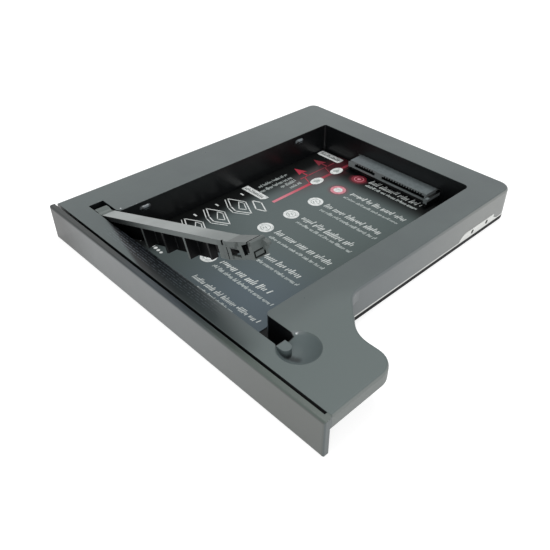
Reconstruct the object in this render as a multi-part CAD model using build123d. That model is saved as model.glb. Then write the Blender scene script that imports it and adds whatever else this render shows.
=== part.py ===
from build123d import *
from math import sqrt
import os

# Drive caddy for a laptop's 12.7 mm drive bay, in millimetres, z up.
# While it is modelled, y = 0 is the bezel's front face and z = 0 is the surface it lies on.
# Each piece is then moved back by half the depth, so that the origin is the middle of the footprint.

# Overall, from the pocket outward: the drive sets the pocket, and rims and wing set the rest
height = 12.7
left_rim = 18.95
right_rim = 10.95
wing_length = 26.3
pocket_width = 71.8
pocket_length = 106.7
lane_front = 9.5
rear_bay = 12.3

bezel_length = left_rim + pocket_width + right_rim + wing_length
body_left = -bezel_length / 2
pocket_left = body_left + left_rim
pocket_right = pocket_left + pocket_width
body_right = pocket_right + right_rim
pocket_rear = lane_front + pocket_length
depth = pocket_rear + rear_bay

# How far joined blocks run into each other, and how far a cut runs on past a face
bite = 0.1
past = 1.0

# Walls of the moulded tray
skin = 1.6
outer_wall = 1.8
pocket_wall = 1.6
rear_left_radius = 3.5
rear_right_radius = 5.0
top_edge_radius = 0.9

# Sheet metal base
plate_thickness = 1.0
flange_height = 2.8
plate_bend_radius = 1.1
flange_clearance = 0.05
lug_setback = 7.8
lug_length = 24.4
lug_height = 5.2
lug_shoulder = 4.2
lug_step = 2.4
lug_hole_radius = 0.8
lug_hole_pitch = 9.2
lug_hole_first = 8.0
lug_hole_z = 3.85
lug_clearance = 0.12
lug_foot_drop = 0.4
lug_end_slope = 1.0
lug_screw_room = 0.3

# Front bezel
bezel_thickness = 2.0
bezel_slot = 0.9
bezel_edge_radius = 0.7
bezel_rib_height = 5.0
bezel_return = 1.9
tab_width = 6.0
tab_thickness = 1.2
tab_reach = 3.6
tab_z = 4.6
tab_barb = 0.6
tab_clearance = 0.2
tab_inset_left = 18.0
tab_inset_right = 7.7

# Wing beside the narrow body
wing_end_gap = 0.3
wing_rear = 27.75
wing_thickness = 4.2
wing_corner_radius = 6.4
wing_slope_run = 11.65
wing_slope_radius = 11.0
wing_root_radius = 8.0

# Nubs on the pocket's side walls
nub_inset = 15.7
nub_drop = 2.6
nub_length = 2.4
nub_radius = 0.95

# Pocket, lever lane, hinge notch and latch notch
pocket_left_radius = 0.8
pocket_right_radius = 2.2
lane_width = 6.2
notch_corner_radius = 1.6
hinge_end_gap = 0.6
hinge_rear_gap = 0.65
latch_overrun = 0.2

# Finger dish with its post
dish_inset = 4.8
dish_offset = 3.6
dish_radius = 6.2
dish_web = 0.8
dish_skin = 1.0
post_width = 3.3
post_length = 3.6
post_offset = 1.45
post_drop = 0.2

# Lever, drawn lying flat along x with its hinge at the origin
hinge_inset = 5.25
hinge_drop = 0.1
lever_lift = 19.1
barrel_radius = 3.9
barrel_gap = 0.4
lever_gap = 0.35
lever_width = 4.5
web_top = 2.5
web_thickness = 1.6
lever_wall = 1.0
lever_floor_gap = 2.5
lever_wall_start = 9.0
lever_root = 5.6
latch_gap = 1.2
latch_slope_run = 10.1
wall_setback = 26.0
wall_step = 2.1
web_setback = 1.9
latch_rise = 1.2
latch_run = 14.8
latch_depth = 5.2
latch_end_depth = 3.6
latch_block = 1.4
plate_lap = 0.4
plate_rise = 0.6
latch_edge_radius = 0.5
slot_recess = 0.8
slot_side = 0.2
slot_width = 3.6
slot_height = 2.0
slot_lift = 0.25
slot_rim = 0.45
seam_width = 0.35
seam_depth = 0.5
nick_setback = 12.9
nick_width = 0.8
nick_drop = 1.3
rib_thickness = 0.9
rib_setback = 16.9
rib_pitch = 11.8
rib_count = 3
rib_lift = 0.5
half_rib_setback = 5.3
half_rib_width = 2.2
half_rib_thickness = 0.6
window_length = 3.6
window_height = 2.0
window_lift = 0.8
window_roof = 0.2
strut_width = 1.5
strut_slant = 0.5
hook_reach = 2.0
hook_width = 1.3
hook_height = 3.2
hook_drop = 0.65
hook_stem = 0.9
pin_radius = 1.0
pin_running_gap = 0.04
pin_seat_gap = 0.02
pin_end_engagement = 1.5

# Circuit board behind the pocket
board_thickness = 1.0
board_z = 2.4
board_gap = 0.3
board_left_gap = 0.8
board_right_gap = 5.9

# Drive connector, 7 + 15 contacts
contact_pitch = 1.27
contact_width = 0.5
contact_thickness = 0.25
contact_air = 0.05
signal_count = 7
power_count = 15
signal_to_power = 6.35
receptacle_offset = 4.0
receptacle_width = 40.5
receptacle_top = 6.1
receptacle_bottom = 1.6
receptacle_reach = 6.5
receptacle_back = 3.2
receptacle_end = 1.0
receptacle_ear = 1.6
receptacle_ear_drop = 1.0
ear_reach = 1.4
ear_groove = 0.5
lip_height = 0.8
lip_step = 0.5
receptacle_gap = 0.25
first_contact = 4.8
mouth_depth = 5.4
mouth_height = 1.25
mouth_z = 3.9
mouth_side = 1.5
comb_height = 0.6
comb_width = 0.75
tail_length = 1.6
tip_setback = 0.5
bow_length = 1.2
bow_drop = 0.55

# Slimline plug at the back, 7 + 6 contacts
plug_inset = 6.2
plug_width = 27.0
plug_height = 5.2
plug_length = 7.4
plug_wall = 0.9
plug_gap = 0.25
plug_tongue = 1.2
plug_power_pitch = 1.0
plug_power_count = 6
plug_signal_to_power = 3.2
plug_first_contact = 5.0
plug_contact_length = 4.0
plug_floor = 2.2
tongue_setback = 0.8

# Chip parts on the board
chip_size = (1.6, 0.8, 0.8)
resistor_size = (1.0, 0.5, 0.4)
chip_pitch = 3.2
chip_count = 4
chip_inset = 5.0
chip_row = 1.4

# Board locks
lock_size = (1.2, 0.6)
lock_inset = 1.4
lock_tail = 0.5
lock_rise = 1.2
lock_setback = 1.0

# Screws
screw_radius = 0.95
screw_gap = 0.05
base_head_radius = 1.8
base_screw_length = 6.0
boss_radius = 2.3
board_head_radius = 1.75
board_head_height = 1.0
board_screw_length = 4.5
board_screw_inset = 2.3
board_screw_inset_right = 7.5
recess_arm = 1.1
recess_width = 0.4
recess_depth = 0.5
screw_inset = 7.0
first_screw = 24.0
left_screw_setback = 22.5
right_screw_setback = 28.5

# Ribs under the tray's top
stiffener = 1.2
stiffener_depth = 6.5
stiffeners = 2

# Label on the pocket floor
label_thickness = 0.25
label_inset = 2.5
label_margin = 4.8
label_edge = 0.15
label_rear_gap = 0.4

# Worked out from the values above
tray_front = bezel_thickness + bezel_slot
wing_right = bezel_length / 2 - wing_end_gap
lane_rear = lane_front + lane_width
lug_end = depth - lug_setback
lug_start = lug_end - lug_length
nub_z = height - nub_drop
nub_places = (lane_front + nub_inset, pocket_rear - nub_inset)
dish_x = body_right + dish_inset
dish_y = lane_front + dish_offset
dish_depth = wing_thickness - dish_web
post_y = lane_front + post_offset
latch_notch_end = body_right + latch_overrun
hinge_x = pocket_left - hinge_inset
hinge_z = height - barrel_radius - hinge_drop
hinge_notch_left = hinge_x - barrel_radius - hinge_end_gap
lever_front = lane_front + lever_gap
lever_back = lever_front + lever_width
hinge_notch_rear = lever_back + hinge_rear_gap
lever_length = latch_notch_end - latch_gap - hook_reach - hinge_x
lever_straight = lever_length - latch_slope_run
web_end = lever_length - web_setback
latch_start = lever_length - latch_run
lever_depth = hinge_z + web_top - lever_floor_gap
wing_bottom = height - wing_thickness
shell_top = height - skin
inner_left = body_left + outer_wall
inner_right = body_right - outer_wall
inner_rear = depth - outer_wall
rib_front_face = tray_front + pocket_wall
board_top = board_z + board_thickness
board_front = pocket_rear + pocket_wall + board_gap
board_rear = inner_rear - board_gap
hinge_floor = hinge_z - barrel_radius - barrel_gap
right_screw_x = (pocket_right + body_right) / 2
board_left = inner_left + board_left_gap
board_right = inner_right - board_right_gap
board_screw_places = (board_left + board_screw_inset, board_right - board_screw_inset_right)
tab_first = body_left + tab_inset_left
tab_last = body_right - tab_inset_right
tab_places = (tab_first, (tab_first + tab_last) / 2, tab_last)
label_front = lane_front + label_inset
receptacle_front = pocket_rear - receptacle_reach
receptacle_left = (pocket_left + pocket_right - receptacle_width) / 2 + receptacle_offset
receptacle_right = receptacle_left + receptacle_width
receptacle_rear = pocket_rear + pocket_wall + receptacle_back
receptacle_lock_y = receptacle_rear - lock_setback
plug_lock_y = board_rear - lock_setback
board_screw_y = (board_front + board_rear) / 2
signal_x = receptacle_left + first_contact
power_x = signal_x + (signal_count - 1) * contact_pitch + signal_to_power
plug_front = depth - plug_length
plug_left = inner_left + plug_inset
plug_right = plug_left + plug_width
tongue_end = depth - tongue_setback
plug_signal_x = plug_left + plug_first_contact
plug_power_x = plug_signal_x + (signal_count - 1) * contact_pitch + plug_signal_to_power
label_z = plate_thickness
web_bottom = web_top - web_thickness
wall_bottom = web_top - lever_depth


def box(x0, x1, y0, y1, z0, z1):
    """A block between two corners."""
    return Pos(x0, y0, z0) * Box(x1 - x0, y1 - y0, z1 - z0, align=(Align.MIN, Align.MIN, Align.MIN))


def upright(x, y, z0, z1, radius):
    """A round bar that stands along z."""
    return Pos(x, y, z0) * Cylinder(radius, z1 - z0, align=(Align.CENTER, Align.CENTER, Align.MIN))


def along_y(x, z, y0, y1, radius):
    """A round bar that lies along y."""
    return Pos(x, y0, z) * Rot(-90, 0, 0) * Cylinder(
        radius, y1 - y0, align=(Align.CENTER, Align.CENTER, Align.MIN))


def slab(face, z0, z1):
    """A plan face raised between two heights."""
    return Pos(0, 0, z0) * extrude(face, z1 - z0, dir=(0, 0, 1))


def plan(points, corner_radii):
    """A closed plan outline whose listed corners are rounded."""
    outline = make_face(Polyline(*points, close=True))
    for place, radius in corner_radii:
        corner = outline.vertices().sort_by_distance((place[0], place[1], 0))[0]
        outline = fillet(corner, radius)
    return outline


def body_outline(inset=0.0, front_inset=0.0):
    """Plan of the narrow body, drawn in from its sides and back by the inset."""
    left, right, rear = body_left + inset, body_right - inset, depth - inset
    front = tray_front + front_inset
    points = [(left, front), (right, front), (right, rear), (left, rear)]
    rounded = [((right, rear), rear_right_radius - inset), ((left, rear), rear_left_radius - inset)]
    return plan(points, rounded)


def wing_outline(inset=0.0):
    """Plan of the wing, with the slope that runs back into the narrow body."""
    right, rear, front = wing_right - inset, wing_rear - inset, tray_front + inset
    side, shift = body_right - inset, inset * (sqrt(2) - 1)
    join_x = body_right + wing_slope_run - shift
    join_y = wing_rear + wing_slope_run - shift
    root = side - outer_wall
    end = join_y + (wing_root_radius + inset) / 2
    points = [(root, front), (right, front), (right, rear), (join_x, rear),
              (side, join_y), (side, end), (root, end)]
    rounded = [((right, rear), wing_corner_radius - inset), ((join_x, rear), wing_slope_radius + inset),
               ((side, join_y), wing_root_radius + inset)]
    return plan(points, rounded)


def cavity(grow=0.0):
    """Plan of the pocket and lane, which are one opening, grown outward by a wall."""
    left, right = pocket_left - grow, pocket_right + grow
    front, rear = lane_front - grow, pocket_rear + grow
    points = [(left, front), (right, front), (right, rear), (left, rear)]
    rounded = [((right, rear), pocket_right_radius + grow), ((left, rear), pocket_left_radius + grow)]
    return plan(points, rounded)


def latch_notch(grow=0.0):
    """Plan of the lane's end that runs into the right-hand rim."""
    x0, x1 = pocket_right - past, inner_right + grow
    return Pos((x0 + x1) / 2, (lane_front + lane_rear) / 2) * Rectangle(
        x1 - x0, lane_rear - lane_front + 2 * grow)


def hinge_notch(grow=0.0):
    """Plan of the notch that holds the lever's barrel."""
    x0, x1 = hinge_notch_left - grow, pocket_left + past
    return Pos((x0 + x1) / 2, (lane_front + hinge_notch_rear) / 2) * Rectangle(
        x1 - x0, hinge_notch_rear - lane_front + 2 * grow)


def notch_corner(x, y, turn):
    """The quarter round that eases the corner between a notch and the pocket's side wall."""
    r = notch_corner_radius
    square = Pos(x + turn * r / 2, y + r / 2) * Rectangle(r, r)
    return square - Pos(x + turn * r, y + r) * Circle(r)


def outer_shell():
    """Body and wing as one block with rounded top edges, stepped in for the base's flanges."""
    block = slab(body_outline(), flange_height + flange_clearance, height)
    block += slab(wing_outline(), wing_bottom, height)
    rim = block.faces().sort_by(Axis.Z)[-1].outer_wire().edges()
    block = fillet([e for e in rim if e.center().Y > tray_front + bite], top_edge_radius)
    step = plate_thickness, flange_height + flange_clearance
    inset = plate_thickness + flange_clearance
    return block + slab(body_outline(inset), *step)


def hollows():
    """The space under the tray's top, in the body and in the wing."""
    space = slab(body_outline(outer_wall, pocket_wall), 0, shell_top)
    wing = slab(wing_outline(outer_wall), wing_bottom - past, shell_top)
    return space + (wing - box(0, body_right, 0, depth, 0, height))


def cavity_walls():
    """Walls that stand round the pocket, the lane and both notches."""
    low, high = plate_thickness, shell_top + bite
    walls = slab(cavity(pocket_wall), low, high)
    walls += slab(latch_notch(pocket_wall), low, high)
    walls += slab(hinge_notch(pocket_wall), low, high)
    return walls & slab(body_outline(plate_thickness + flange_clearance), 0, height)


def openings():
    """The pocket, the lane and the notches, cut from the top down."""
    low, high = 0, height + past
    space = slab(cavity(), low, high)
    space += slab(latch_notch(), low, high)
    space += box(inner_right - bite, latch_notch_end, lane_front, lane_rear, wing_bottom, high)
    space += slab(hinge_notch(), hinge_floor, high)
    space += box(hinge_notch_left, pocket_left - pocket_wall, lane_front, hinge_notch_rear,
                 low, hinge_floor - skin)
    space += slab(notch_corner(pocket_right, lane_rear, 1), low, high)
    space += slab(notch_corner(pocket_left, hinge_notch_rear, -1), hinge_floor, high)
    return space


def dish():
    """The bowl for a fingertip beside the latch, without its post."""
    ball_radius = (dish_radius ** 2 + dish_depth ** 2) / (2 * dish_depth)
    return Pos(dish_x, dish_y, height - dish_depth + ball_radius) * Sphere(ball_radius)


def dish_floor():
    """Extra thickness under the bowl, so that the top doesn't wear through."""
    return upright(dish_x, dish_y, wing_bottom, shell_top + bite, dish_radius + dish_skin)


def post():
    """The post in the dish, flat towards the notch and round behind."""
    radius = post_width / 2
    nose = latch_notch_end + post_length - radius
    flat = box(latch_notch_end, nose, post_y - radius, post_y + radius, wing_bottom, height - post_drop)
    return flat + upright(nose, post_y, wing_bottom, height - post_drop, radius)


def wall_nubs():
    """Small bumps on both side walls that hold the drive down."""
    nubs = Part()
    for x in (pocket_left, pocket_right):
        for y in nub_places:
            bar = along_y(x, nub_z, y - nub_length / 2, y + nub_length / 2, nub_radius)
            nubs += bar + Pos(x, y - nub_length / 2, nub_z) * Sphere(nub_radius) \
                + Pos(x, y + nub_length / 2, nub_z) * Sphere(nub_radius)
    return nubs


def screw_rows():
    """The two rows of base screws, each as its x and its three y."""
    rows = []
    for x, setback in ((body_left + screw_inset, left_screw_setback), (right_screw_x, right_screw_setback)):
        last = depth - setback
        rows.append((x, (first_screw, (first_screw + last) / 2, last)))
    return rows


def screw_places():
    """Plan places of the base's screws."""
    return [(x, y) for x, row in screw_rows() for y in row]


def tray_bosses():
    """Bosses that take the base's screws and the board's screws."""
    bosses = Part()
    for x, y in screw_places():
        bosses += upright(x, y, plate_thickness, shell_top + bite, boss_radius)
    for x in board_screw_places:
        bosses += upright(x, board_screw_y, board_top, shell_top + bite, boss_radius)
    return bosses


def boss_holes():
    """Screw holes in the bosses."""
    holes = Part()
    for x, y in screw_places():
        holes += upright(x, y, 0, base_screw_length + past, screw_radius + screw_gap)
    for x in board_screw_places:
        holes += upright(x, board_screw_y, 0, board_z + board_screw_length + past, screw_radius + screw_gap)
    return holes


def cross_ribs():
    """Cross ribs under the left and right rims."""
    ribs = Part()
    low, high = shell_top - stiffener_depth, shell_top + bite
    sides = (inner_left - bite, pocket_left - bite), (pocket_right + bite, inner_right + bite)
    for (x0, x1), (_, row) in zip(sides, screw_rows()):
        for front, rear in zip(row, row[1:]):
            for k in range(1, stiffeners + 1):
                y = front + (rear - front) * k / (stiffeners + 1)
                ribs += box(x0, x1, y - stiffener / 2, y + stiffener / 2, low, high)
    return ribs


def lug_profile(grow=0.0):
    """Side view of the lug on the base's right flange, in the y-z plane, grown by a clearance."""
    top, base = lug_height + grow, plate_thickness
    start, end = lug_start - grow, lug_end + grow
    shoulder, step_y = lug_start + lug_shoulder, lug_end - lug_step + grow
    foot_z, end_z = flange_height - lug_foot_drop, flange_height + grow
    points = [(start, foot_z), (start, base), (end, base), (end, end_z), (step_y, end_z + lug_end_slope),
              (step_y, top), (shoulder, top)]
    sides = [Line(a, b) for a, b in zip(points, points[1:])]
    sides.append(TangentArc((shoulder, top), (start, foot_z), tangent=(-1, 0)))
    return Plane.YZ * make_face(Wire(sides))


def lug(grow=0.0, inward=0.0):
    """The lug as a piece of the sheet, or the recess for it when it is grown."""
    profile = lug_profile(grow)
    thick = plate_thickness + inward
    return Pos(body_right - thick, 0, 0) * extrude(profile, thick, dir=(1, 0, 0))


def lug_holes(radius, length):
    """The two tapped holes in the lug."""
    holes = Part()
    for k in range(2):
        y = lug_start + lug_hole_first + k * lug_hole_pitch
        holes += Pos(body_right - length, y, lug_hole_z) * Rot(0, 90, 0) * Cylinder(
            radius, length + past, align=(Align.CENTER, Align.CENTER, Align.MIN))
    return holes


def receptacle_window():
    """Opening in the pocket's rear wall for the drive connector."""
    g = receptacle_gap
    return box(receptacle_left - g, receptacle_right + g, pocket_rear - past,
               pocket_rear + pocket_wall + past, 0, receptacle_top + g)


def plug_window(z0):
    """Opening from the given height up in the rear wall, for the slimline plug."""
    g = plug_gap
    return box(plug_left - g, plug_right + g, inner_rear - past, depth + past,
               z0, board_top + plug_height + g)


def tab_windows():
    """Slots in the tray's front wall for the bezel's snap tabs."""
    cuts = Part()
    c = tab_clearance
    for x in tab_places:
        cuts += box(x - tab_width / 2 - c, x + tab_width / 2 + c, tray_front - past, rib_front_face + bite,
                    tab_z - c, tab_z + tab_thickness + tab_barb + c)
    return cuts


def pin_hole(radius, y0, y1):
    """A hole along the hinge axis."""
    return along_y(hinge_x, hinge_z, y0, y1, radius)


def make_tray():
    """The moulded shell."""
    tray = outer_shell() - hollows() + cavity_walls()
    tray += dish_floor() & slab(wing_outline() + body_outline(), 0, shell_top + bite)
    tray += tray_bosses() + cross_ribs()
    tray -= openings()
    tray -= dish()
    tray += post()
    tray += wall_nubs()
    tray -= boss_holes()
    tray -= receptacle_window()
    tray -= plug_window(0)
    tray -= tab_windows()
    tray -= lug(lug_clearance, flange_clearance)
    tray -= lug_holes(lug_hole_radius + lug_screw_room, 2 * outer_wall)
    tray -= pin_hole(pin_radius + pin_seat_gap, tray_front - past, hinge_notch_rear + pin_end_engagement)
    return tray


def make_bezel():
    """Front face with its spacer rib, its end return and three snap tabs."""
    half = bezel_length / 2
    face = box(-half, half, 0, bezel_thickness, 0, height)
    face = fillet(face.faces().sort_by(Axis.Y)[0].edges(), bezel_edge_radius)
    rib = box(-half + bezel_return, body_right, bezel_thickness, tray_front,
              plate_thickness, bezel_rib_height)
    end = box(half - bezel_return, half - wing_end_gap, bezel_thickness, tray_front, wing_bottom, height)
    bezel = face + rib + end
    for x in tab_places:
        bezel += snap_tab(x)
    return bezel


def snap_tab(x):
    """A tab with a barb that catches behind the tray's front wall."""
    y0, y1 = bezel_thickness, tray_front + tab_reach
    catch = rib_front_face + tab_clearance
    top = tab_z + tab_thickness
    points = [(y0, tab_z), (y1, tab_z), (y1, tab_z + tab_thickness / 2),
              (catch + tab_barb / 2, top + tab_barb), (catch, top + tab_barb), (catch, top), (y0, top)]
    side = Plane.YZ * make_face(Polyline(*points, close=True))
    return Pos(x - tab_width / 2, 0, 0) * extrude(side, tab_width, dir=(1, 0, 0))


def make_base_plate():
    """Folded sheet: floor, upturned flanges on three sides and the tall lug."""
    pan = slab(body_outline(), 0, flange_height)
    lower = pan.faces().sort_by(Axis.Z)[0].outer_wire().edges()
    pan = fillet([e for e in lower if e.center().Y > tray_front + bite], plate_bend_radius)
    pan -= slab(body_outline(plate_thickness, -past), plate_thickness, height)
    pan += lug() - box(body_left, body_right + past, 0, depth, 0, flange_height - 2 * lug_foot_drop)
    pan -= plug_window(plate_thickness)
    pan -= lug_holes(lug_hole_radius, 2 * outer_wall)
    for x, y in screw_places():
        pan -= base_screw_head(x, y, screw_gap)
    return pan


def base_screw_head(x, y, gap=0.0):
    """The flat head of a base screw, or the dimple for it."""
    cone = Cone(base_head_radius + gap, screw_radius + gap, plate_thickness,
                align=(Align.CENTER, Align.CENTER, Align.MIN))
    return Pos(x, y, 0) * cone


def make_base_screws():
    """Six flat-headed screws from below."""
    screws = []
    for x, y in screw_places():
        shank = upright(x, y, plate_thickness - bite, base_screw_length, screw_radius)
        head = base_screw_head(x, y) - cross_recess(x, y, 0)
        screws.append((head + shank).solid())
    return Compound(screws)


def cross_recess(x, y, z):
    """A cross in a screw's head, cut upward from z."""
    arm, half, top = recess_arm, recess_width / 2, z + recess_depth
    bar = box(x - arm, x + arm, y - half, y + half, z, top)
    return bar + box(x - half, x + half, y - arm, y + arm, z, top)


def make_board_screws():
    """Two screws that hold the board up against its bosses."""
    screws = []
    for x in board_screw_places:
        low = board_z - board_head_height
        head = upright(x, board_screw_y, low, board_z, board_head_radius)
        head -= cross_recess(x, board_screw_y, low)
        shank = upright(x, board_screw_y, board_z - bite, board_z + board_screw_length, screw_radius)
        screws.append((head + shank).solid())
    return Compound(screws)


def make_label():
    """The printed sheet on the pocket's floor, cut out round the drive connector."""
    high, gap = label_z + label_thickness, label_rear_gap
    sheet = box(pocket_left + label_edge, pocket_right - label_margin, label_front, pocket_rear - gap,
                label_z, high)
    return sheet - box(receptacle_left - gap, receptacle_right + gap, receptacle_front - ear_reach - gap,
                       pocket_rear, label_z, high)


def lever_side():
    """Side view of the lever's top web, from the barrel to the raised latch end."""
    rise = web_top + latch_rise * (web_end - lever_straight) / (lever_length - lever_straight)
    points = [(0, web_top), (lever_straight, web_top), (web_end, rise), (web_end, rise - web_thickness),
              (lever_straight, web_bottom), (0, web_bottom)]
    return Plane.XZ * make_face(Polyline(*points, close=True))


def lever_back_wall():
    """Side view of the wall that hangs from the web's rear edge, deep first and shallow at the latch."""
    deep_end, root_z = lever_length - wall_setback, barrel_gap - barrel_radius
    points = [(0, web_top), (web_end, web_top), (web_end, web_top - latch_end_depth),
              (deep_end + wall_step, wall_bottom + wall_step), (deep_end, wall_bottom),
              (lever_wall_start, wall_bottom), (lever_root, root_z), (0, root_z)]
    return Plane.XZ * make_face(Polyline(*points, close=True))


def latch_plate():
    """Side view of the latch end's front plate, with its two windows."""
    top, low = web_bottom + plate_lap, web_top - latch_depth
    rise, end_low = top + plate_rise, web_top - latch_end_depth
    end = lever_length - latch_block
    points = [(latch_start, top), (lever_straight, top), (web_end, rise), (end, rise), (end, end_low),
              (latch_start + window_length, low), (latch_start, low)]
    return Plane.XZ * make_face(Polyline(*points, close=True))


def in_lever(side, y0, y1):
    """A side view made solid between two places across the lane."""
    return Pos(0, y0, 0) * extrude(side, y1 - y0, dir=(0, 1, 0))


def latch_windows():
    """The two windows with the slanting strut between them."""
    x0 = latch_start + 1.5 * window_length
    x1 = x0 + window_length
    z1 = web_bottom - bite
    z0 = z1 - window_height
    first = make_face(Polyline((x0, z1), (x1, z1), (x1 + strut_slant, z0), (x0, z0), close=True))
    x2, x3 = x1 + strut_width, lever_length - latch_block
    z2, z3 = z0 + window_lift, web_top - window_roof
    second = make_face(Polyline((x2, z3), (x3, z3 + window_lift), (x3, z2 + window_lift),
                                (x2 + strut_slant, z2), close=True))
    both = Plane.XZ * first + Plane.XZ * second
    return in_lever(both, lever_front - past, lever_front + lever_wall + past)


def latch_grooves():
    """The nick in the web's front edge and the seam in the plate below it."""
    y0, y1 = lever_front - past, lever_front + seam_depth
    nick, seam = lever_length - nick_setback, latch_start + window_length
    cuts = box(nick, nick + nick_width, y0, y1, web_top - nick_drop, web_top + past)
    return cuts + box(seam, seam + seam_width, y0, y1, web_top - latch_depth - past, web_bottom)


def latch_end():
    """The block that closes the lever's free end, with its framed slot and its hook."""
    x0, x1 = lever_length - latch_block, lever_length
    z0, z1 = web_top - latch_end_depth, web_top + latch_rise
    block = box(x0, x1, lever_front, lever_back, z0, z1)
    block = fillet(block.edges().filter_by(Axis.Y).sort_by(Axis.Z)[-2:], latch_edge_radius)
    near, low = lever_front + slot_side, z0 + slot_lift
    far, high, rim = near + slot_width, low + slot_height, slot_rim
    block -= box(x1 - slot_recess, x1 + past, near, far, low, high)
    block += box(x0, x1 - bite, near + rim, far - rim, low + rim, high - rim)
    return block + in_lever(Plane.XZ * hook_profile(x1, z1), lever_back - hook_width, lever_back)


def hook_profile(x, z):
    """Side view of the hook beyond the free end, whose top corner is at x and z."""
    top, nose, lip = z - hook_drop, z - 2 * hook_drop, z - 3 * hook_drop
    root, stem, tip = x - hook_drop, x + hook_stem, x + hook_reach
    return make_face(Polyline((root, top), (stem, top), (tip, nose), (tip, lip), (stem, lip),
                              (stem, z - hook_height), (root, z - hook_height), close=True))


def make_lever():
    """The retaining lever, lifted about its hinge as the photograph shows it."""
    arm = in_lever(lever_side(), lever_front, lever_back)
    arm += in_lever(lever_back_wall(), lever_back - lever_wall, lever_back)
    arm += in_lever(latch_plate(), lever_front, lever_front + lever_wall)
    arm -= latch_windows() + latch_grooves()
    for k in range(rib_count):
        x = latch_start - rib_setback - k * rib_pitch
        arm += box(x, x + rib_thickness, lever_front, lever_back - bite,
                   wall_bottom + rib_lift, web_bottom + bite)
    x = latch_start - half_rib_setback
    arm += box(x, x + half_rib_thickness, lever_front, lever_front + half_rib_width,
               wall_bottom + wall_step, web_bottom + bite)
    arm += box(latch_start, latch_start + window_length - bite, lever_front + seam_depth, lever_back - bite,
               web_top - latch_depth + plate_lap, web_bottom + bite)
    arm += box(web_end - lever_wall, lever_length - latch_block + bite, lever_back - lever_wall, lever_back,
               web_top - latch_end_depth, web_bottom + plate_rise)
    arm += latch_end()
    arm += along_y(0, 0, lever_front, lever_back, barrel_radius)
    arm -= along_y(0, 0, lever_front - past, lever_back + past, pin_radius + pin_running_gap)
    return Pos(hinge_x, 0, hinge_z) * Rot(0, -lever_lift, 0) * arm


def make_lever_pin():
    """Steel pin through both walls of the hinge notch."""
    return pin_hole(pin_radius, lane_front - pin_end_engagement + pin_seat_gap,
                    hinge_notch_rear + pin_end_engagement - pin_seat_gap)


def make_board():
    """Circuit board behind the pocket's rear wall."""
    board = box(board_left, board_right, board_front, board_rear, board_z, board_top)
    for x in board_screw_places:
        board -= upright(x, board_screw_y, 0, height, screw_radius + screw_gap)
    for x, y in lock_places():
        board -= lock(x, y, screw_gap)
    return board


def contact_places():
    """Left-to-right places of the drive connector's contacts: signal first, then power."""
    signal = [signal_x + k * contact_pitch for k in range(signal_count)]
    power = [power_x + k * contact_pitch for k in range(power_count)]
    return signal, power


def make_receptacle():
    """Housing of the drive connector: two mouths, a comb of contact slots and an ear at each end."""
    left, right = receptacle_left + receptacle_end, receptacle_right - receptacle_ear
    front, wall_side = receptacle_front, board_front - receptacle_gap
    shoulder = receptacle_top - receptacle_ear_drop
    body = box(left, right, front, receptacle_rear, board_top, receptacle_top)
    body += box(left, right, front, wall_side, receptacle_bottom, board_top + bite)
    body += box(receptacle_left, left + bite, front, wall_side, receptacle_bottom, shoulder)
    body += box(right - bite, receptacle_right, front - ear_reach, wall_side, receptacle_bottom, shoulder)
    body -= box(right, right + ear_groove, front - 2 * ear_reach, pocket_rear, shoulder - ear_groove,
                receptacle_top)
    body -= box(left, right - ear_groove, front - past, front + lip_step, 0, mouth_z - lip_height)
    for row in contact_places():
        body -= mouth(row)
    for x in lock_row(left, right):
        body -= lock(x, receptacle_lock_y, screw_gap)
    return body


def mouth(row):
    """The opening of one mouth, with a comb of slots above it for the contacts."""
    front, rear, high = receptacle_front - past, receptacle_front + mouth_depth, mouth_z + mouth_height
    space = box(row[0] - mouth_side, row[-1] + mouth_side, front, rear, mouth_z, high)
    for x in row:
        space += box(x - comb_width / 2, x + comb_width / 2, front, rear, mouth_z, high + comb_height)
    return space


def lock_row(left, right):
    """The two places of a housing's board locks."""
    return left + lock_inset, right - lock_inset


def lock_places():
    """Every place where a board lock passes through the board."""
    left, right = receptacle_left + receptacle_end, receptacle_right - receptacle_ear
    drive = [(x, receptacle_lock_y) for x in lock_row(left, right)]
    return drive + [(x, plug_lock_y) for x in lock_row(plug_left, plug_right)]


def lock(x, y, gap=0.0):
    """A flat metal peg through the board into a housing, or the slot for it."""
    w, t = lock_size[0] / 2 + gap, lock_size[1] / 2 + gap
    return box(x - w, x + w, y - t, y + t, board_z - lock_tail - gap, board_top + lock_rise + gap)


def drive_contact(x):
    """One contact: a spring strip under the comb, bowed at its tip, with a tail on the board."""
    t, left = contact_thickness, x - contact_width / 2
    top, rear = mouth_z + mouth_height + comb_height - contact_air, receptacle_front + mouth_depth
    tip = receptacle_front + tip_setback
    bow, flat = tip + bow_length, tip + 2 * bow_length
    points = [(tip, top), (bow, top - bow_drop), (flat, top), (rear, top), (rear, top - t), (flat, top - t),
              (bow, top - bow_drop - t), (tip, top - t)]
    strip = Pos(left, 0, 0) * extrude(Plane.YZ * make_face(Polyline(*points, close=True)), contact_width,
                                      dir=(1, 0, 0))
    tail = box(left, left + contact_width, receptacle_rear, receptacle_rear + tail_length, board_top,
               board_top + t)
    return strip, tail


def make_drive_contacts(row):
    """The contacts of one mouth, each with its soldered tail."""
    solids = []
    for x in row:
        solids.extend(piece.solid() for piece in drive_contact(x))
    return Compound(solids)


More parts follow.
